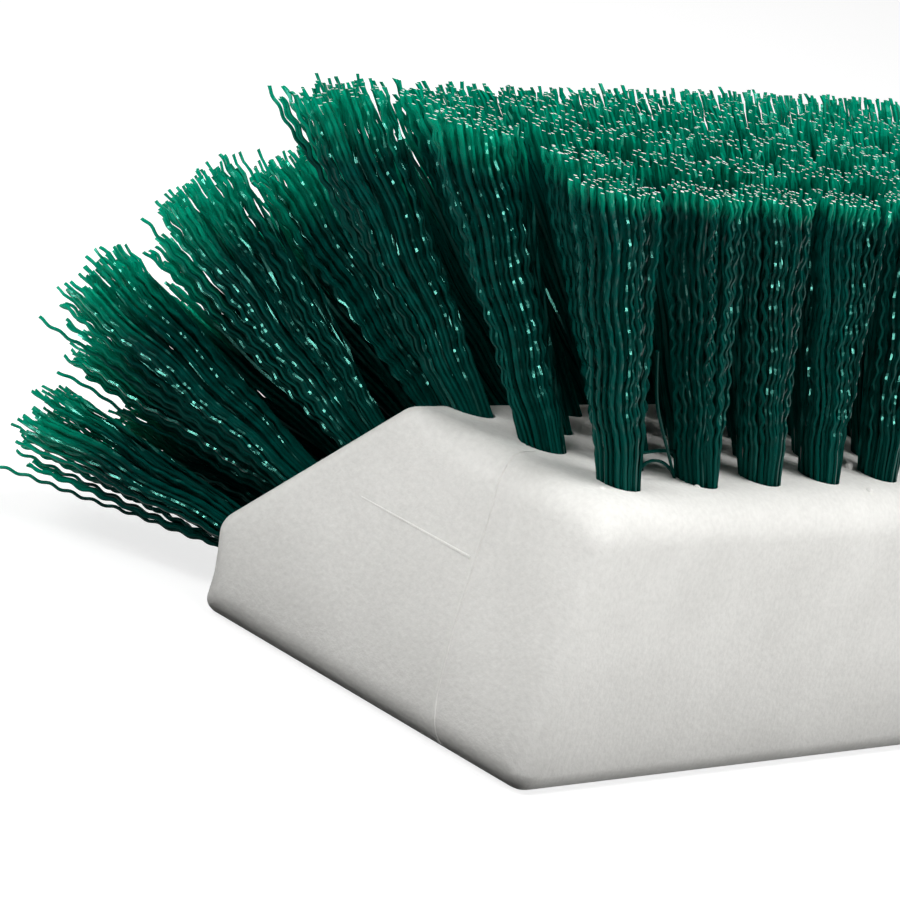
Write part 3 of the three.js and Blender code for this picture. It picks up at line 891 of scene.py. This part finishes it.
# The cut: each point of the last ring slides by its height off the ring's middle.
middle = add(filaments, NAMED, {"Name": "centre"}, data_type="FLOAT_VECTOR").outputs["Attribute"]
at_tip = add(filaments, NAMED, {"Name": "tip"}, data_type="FLOAT").outputs["Attribute"]
is_tip = add(filaments, COMPARE, {0: at_tip, 1: TIP_LIMIT}, operation="GREATER_THAN")
place = add(filaments, "GeometryNodeInputPosition")
off = add(filaments, VECTOR, {0: middle, 1: place}, operation="SUBTRACT")
off = add(filaments, VECTOR, {0: off, 1: kept["cut_normal"]}, operation="DOT_PRODUCT")
slope = add(filaments, VECTOR, {0: kept["grow"], 1: kept["cut_normal"]}, operation="DOT_PRODUCT")
slide = add(filaments, MATH, {0: off.outputs["Value"], 1: slope.outputs["Value"]}, operation="DIVIDE")
slide = add(filaments, VECTOR, {0: kept["grow"], "Scale": slide}, operation="SCALE")
levelled = add(filaments, "GeometryNodeSetPosition", {
    "Geometry": tubes, "Selection": is_tip, "Offset": slide})
flat = add(filaments, "GeometryNodeSetShadeSmooth", {
    "Geometry": levelled, "Shade Smooth": False}, domain="FACE")
marked = add(filaments, STORE, {
    "Geometry": flat, "Name": "cut", "Value": is_tip}, data_type="FLOAT", domain="FACE")
whole = add(filaments, "GeometryNodeRealizeInstances", {0: marked})
finished = add(filaments, "GeometryNodeSetMaterial", {"Geometry": whole, "Material": given["Material"]})
add(filaments, "NodeGroupOutput", {"Geometry": finished})
print("whole filament tree:", len(filaments.nodes), "nodes")

# %% Grow the tufts
# Tufts at the edge of the head show from root to tip, so they get more filaments, with five sides, and
# the ones nearest the camera get the most points. The others show only near the trim, and fewer sides do.
EDGE = {"Filaments": 84, "Sides": 5, "Filament Radius": 0.28 * MM,
        "Shell Points": 50, "Core Points": 16, "Crowd": 0.0}
NEAR = EDGE | {"Shell Points": 110}
INNER = {"Filaments": 60, "Sides": 4, "Filament Radius": 0.3 * MM,
         "Shell Points": 20, "Core Points": 11, "Crowd": 0.6}
NEAR_X = -40.0
# The tufts spread wider and are cut less evenly from the ridge on. Each list goes with these rows.
FAN_ROWS = (0, 2, 4, 7, 9, 10)
FANS = {
    "Flare Along": (2.6, 2.6, 2.8, 2.7, 2.6, 2.6), "Flare Across": (1.3, 1.5, 2.3, 2.5, 2.2, 2.1),
    "Loose": np.array((3.0, 4.0, 3.8, 5.5, 6.5, 6.5)) * MM,
    "Uneven Cut": np.array((0.7, 1.0, 2.0, 4.0, 5.0, 5.0)) * MM,
    # The painted glow at the tips reaches further down on the back rows.
    "Painted Tip Glow": np.array((3.5, 7.5, 10.0, 13.0, 13.0, 13.0)) * MM,
}
filament_sizes = {
    "Hole Radius": (HOLE_DIAMETER / 2 - 0.15) * MM, "Root Depth": 8.0 * MM, "Straight Root": 9.0 * MM,
    "Crimp Length": 3.45 * MM, "Crimp Depth": 0.22 * MM, "Wander": 0.3 * MM, "Twist": 0.3 / MM,
    "Seed": 1, "Material": crimped_polyester,
}


def tuft_kind(tuft):
    """How much of a tuft shows: inside the head, at its edge, or at the edge nearest the camera."""
    if not tuft["outward"].any():
        return "inner"
    shows = tuft["row"] == 0 or tuft["outward"][0] < 0
    return "near" if shows and tuft["base"][0] < NEAR_X else "edge"


for tuft in tufts:
    tuft["kind"] = tuft_kind(tuft)
pieces = []
for row in range(len(row_places)):
    for side in ("left", "right"):
        for kind, detail in (("near", NEAR), ("edge", EDGE), ("inner", INNER)):
            chosen = [t for t in tufts if (t["row"], t["side"], t["kind"]) == (row, side, kind)]
            if not chosen:
                continue
            face = chosen[0]["face"]
            piece = tuft_points(f"{face}_{kind}_tufts_{row + 1}_{side}", chosen)
            fan = {label: float(np.interp(row, FAN_ROWS, values)) for label, values in FANS.items()}
            use_tree(piece, filaments, filament_sizes | fan | detail)
            flatten_modifiers(piece)
            pieces.append((piece, f"{face}_bristles_{side}"))
print(len(pieces), "pieces,", sum(triangles(p) for p, _ in pieces), "triangles")
print("largest piece:", max(triangles(p) for p, _ in pieces), "triangles")

# %% [markdown]
# ## Wire anchors
# The filaments of a tuft are folded over a flat piece of galvanized wire, and a machine drives the wire
# to the bottom of the hole. The wires stay hidden. They repeat, so a small node tree sets one below each
# tuft point.

# %% Wire anchors
ANCHOR_SIZE, ANCHOR_DEPTH = (6.0, 0.5, 1.6), 8.9

galvanized_wire, tree = new_finish("galvanized_wire")
zinc = add(tree, "ShaderNodeBsdfPrincipled", {
    "Base Color": linear("#a8aaa8"), "Metallic": 1.0, "Roughness": 0.45})
add(tree, "ShaderNodeOutputMaterial", {"Surface": zinc.outputs["BSDF"]})

anchoring, given = new_tree("wire_anchors", [
    ("Size", "NodeSocketVector"), ("Depth", "NodeSocketFloat"), ("Material", "NodeSocketMaterial"),
])
wire = add(anchoring, "GeometryNodeMeshCube", {"Size": given["Size"]})
down = add(anchoring, MATH, {0: given["Depth"], 1: -1.0}, operation="MULTIPLY")
down = add(anchoring, "ShaderNodeCombineXYZ", {"Z": down})
lowered = add(anchoring, "GeometryNodeTransform", {
    "Geometry": wire.outputs["Mesh"], "Translation": down})
axis = add(anchoring, NAMED, {"Name": "axis"}, data_type="FLOAT_VECTOR")
turn = add(anchoring, "FunctionNodeAlignRotationToVector", {
    "Vector": axis.outputs["Attribute"]}, axis="Z")
stands = add(anchoring, "GeometryNodeMeshToPoints", {"Mesh": given["Geometry"]})
wires = add(anchoring, "GeometryNodeInstanceOnPoints", {
    "Points": stands, "Instance": lowered, "Rotation": turn.outputs["Rotation"]})
whole = add(anchoring, "GeometryNodeRealizeInstances", {0: wires.outputs["Instances"]})
finished = add(anchoring, "GeometryNodeSetMaterial", {
    "Geometry": whole, "Material": given["Material"]})
add(anchoring, "NodeGroupOutput", {"Geometry": finished})

anchors = tuft_points("wire_anchors", tufts)
use_tree(anchors, anchoring, {
    "Size": [v * MM for v in ANCHOR_SIZE], "Depth": ANCHOR_DEPTH * MM, "Material": galvanized_wire})
flatten_modifiers(anchors)
print("anchors:", triangles(anchors), "triangles")

# %% [markdown]
# ## Loose ends and crumbs
# The tufting machine drops an odd filament that lies between the tufts, and crumbs of foamed plastic that
# the drill threw up stick beside the holes. Each filament is a short swept path, and each crumb a small
# uneven ball half sunk in the face.

# %% Loose ends and crumbs
LOOSE_RADIUS, LOOSE_POINTS, LOOSE_SIDES = 0.26, 28, 6
# Each path is a few points in mm, from a hole's rim to the loose end.
LOOSE_PATHS = [
    [(-107.3, -21.5, 43.2), (-106.8, -21.5, 45.4), (-104.1, -21.5, 46.0), (-101.2, -21.5, 45.3),
     (-97.6, -21.5, 43.0)],
    [(-108.0, -21.0, 47.0), (-105.4, -21.0, 47.2), (-102.6, -21.0, 47.3), (-99.3, -21.0, 47.1)],
    [(-113.4, -22.0, 62.7), (-110.9, -22.0, 58.5), (-109.4, -22.0, 54.8), (-106.8, -22.0, 51.7),
     (-103.8, -22.0, 49.4), (-98.6, -22.0, 43.0)],
]
# Each crumb is its place beside a hole of the front row, in mm, and its radius.
CRUMBS = [
    ((-119.3, -24.6, 43.4), 0.5), ((-97.7, -25.4, 43.5), 0.4), ((-51.7, -20.5, 43.5), 0.9),
    ((-56.6, -28.1, 43.0), 0.75),
]


def loose_tube(path):
    """A thin tube along a smooth path through a few points."""
    path = np.array(path)
    knots = np.linspace(0, 1, len(path))
    line = np.column_stack([
        np.polyval(np.polyfit(knots, path[:, i], 3), np.linspace(0, 1, LOOSE_POINTS)) for i in range(3)])
    rows = []
    for i, point in enumerate(line):
        ahead = unit(line[min(i + 1, len(line) - 1)] - line[max(i - 1, 0)])
        side = unit(np.cross(ahead, (0.0, 1.0, 0.2)))
        angles = np.arange(LOOSE_SIDES) * 2 * math.pi / LOOSE_SIDES
        ring = np.outer(np.cos(angles), side) + np.outer(np.sin(angles), np.cross(ahead, side))
        rows.append(point + ring * LOOSE_RADIUS)
    return rows


loose_points = np.concatenate([ring for path in LOOSE_PATHS for ring in loose_tube(path)])
loose_faces = []
for i in range(len(LOOSE_PATHS)):
    loose_faces += ring_faces(LOOSE_POINTS, LOOSE_SIDES, i * LOOSE_POINTS * LOOSE_SIDES)
loose_ends = outward_faces(mesh_object("loose_filaments", loose_points, loose_faces))
loose_ends.data.materials.append(crimped_polyester)
scatter = np.random.default_rng(23)
balls = bmesh.new()
for place, radius in CRUMBS:
    ball = bmesh.ops.create_icosphere(balls, subdivisions=2, radius=radius * MM)["verts"]
    stretch = scatter.uniform(0.7, 1.3, 3)
    for vertex in ball:
        vertex.co = Vector(vertex.co * scatter.uniform(0.9, 1.1))
        vertex.co = Vector(place) * MM + Vector(vertex.co[i] * stretch[i] for i in range(3))
crumbs = mesh_object("crumbs", [], [])
balls.to_mesh(crumbs.data)
balls.free()
crumbs.data.materials.append(foamed_plastic)
print("loose ends and crumbs:", triangles(loose_ends) + triangles(crumbs), "triangles")

# %% [markdown]
# ## Floor and light
# The photograph has a white background and soft light. The floor shows white to the camera and in gloss,
# and keeps the object's shadow. For the light it throws back up, its colour close to the foot is painted
# dark, a painted contact shade, so the lower edges stay darker as in the picture. Three soft boxes light
# the head from above, the left end and the right. Two long low strips beside the camera show only in
# gloss, and put the bright dots on the filaments' waves.

# %% The floor
floor = mesh_object("floor", [(-4000, -4000, 0), (4000, -4000, 0), (4000, 4000, 0), (-4000, 4000, 0)],
                    [(0, 1, 2, 3)])
paper, tree = new_finish("white_paper")
rays = add(tree, "ShaderNodeLightPath")
glossy = add(tree, MATH, {
    0: rays.outputs["Is Camera Ray"], 1: rays.outputs["Is Glossy Ray"]}, operation="MAXIMUM")
seen = add(tree, MATH, {0: glossy, 1: rays.outputs["Is Transmission Ray"]}, operation="MAXIMUM")
lit = add(tree, "ShaderNodeBsdfDiffuse", {"Color": linear("#b0b0b0")})
glow = add(tree, "ShaderNodeEmission", {"Strength": 0.78})
white = add(tree, "ShaderNodeAddShader", {0: lit, 1: glow})
# Painted contact shade: for bounced light the floor's colour is painted dark near the block's foot and pale
# further out.
ground = add(tree, "ShaderNodeTexCoord").outputs["Object"]
off = add(tree, VECTOR, {0: ground}, operation="ABSOLUTE")
off = add(tree, VECTOR, {0: off, 1: (HALF_LENGTH * MM, HALF_WIDTH * MM, 0.0)}, operation="SUBTRACT")
off = add(tree, VECTOR, {0: off, 1: (1.0, 0.8, 1.0)}, operation="MULTIPLY")
off = add(tree, "ShaderNodeSeparateXYZ", {0: off})
from_foot = add(tree, MATH, {0: off.outputs["X"], 1: off.outputs["Y"]}, operation="MAXIMUM")
clear = add(tree, MAP_RANGE, {"Value": from_foot, "From Min": 6 * MM, "From Max": 38 * MM})
painted_contact_shade = add(tree, MIX, {
    "Factor": clear, 6: linear("#202020"), 7: linear("#ececec")}, data_type="RGBA")
painted_shade_bounce = add(tree, "ShaderNodeBsdfDiffuse", {"Color": painted_contact_shade.outputs[2]})
mixed = add(tree, "ShaderNodeMixShader", {"Fac": seen, 1: painted_shade_bounce, 2: white})
add(tree, "ShaderNodeOutputMaterial", {"Surface": mixed})
floor.data.materials.append(paper)
print("floor:", paper.name)

# %% World and lamps
world = bpy.data.worlds.new("studio")
bpy.context.scene.world = world
world.use_nodes = True
tree = world.node_tree
tree.nodes.clear()
sky = add(tree, "ShaderNodeBackground", {"Color": linear("#ffffff"), "Strength": 0.07})
add(tree, "ShaderNodeOutputWorld", {"Surface": sky})


def lamp(name, place_mm, target_mm, size_mm, watts):
    """A soft box that faces a point."""
    data = bpy.data.lights.new(name, "AREA")
    data.shape = "RECTANGLE"
    data.size, data.size_y = size_mm[0] * MM, size_mm[1] * MM
    data.energy = watts
    made = bpy.data.objects.new(name, data)
    made.location = Vector(place_mm) * MM
    facing = (Vector(target_mm) - Vector(place_mm)).normalized()
    made.rotation_euler = facing.to_track_quat("-Z", "Y").to_euler()
    bpy.context.scene.collection.objects.link(made)
    return made


lamp("front_top", (-100, -300, 1000), (-60, 0, 40), (600, 400), 7.2)
lamp("left_top", (-900, 150, 800), (-60, 0, 40), (600, 400), 7.2)
lamp("right", (360, -1080, 340), (-60, 0, 40), (500, 200), 5.2)
lamp("catch_left", (-1080, -560, 120), (-60, 0, 60), (1800, 120), 110).visible_diffuse = False
lamp("catch_right", (-660, -1040, 70), (-60, 0, 60), (600, 100), 12).visible_diffuse = False
bpy.context.scene.view_settings.view_transform = "Standard"
print("world and lamps ready")

# %% [markdown]
# ## Joining the frame
# Each piece rides on the one body of the frame, and where it stands for a solid, that solid is hidden.
# The points that only guided the node trees are removed.

# %% Ride and replace
bpy.data.objects.remove(all_tufts)
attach(block, "root")
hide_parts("block")
for piece, node in pieces:
    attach(piece, "root")
    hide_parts(node)
for piece in (anchors, loose_ends, crumbs):
    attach(piece, "root")
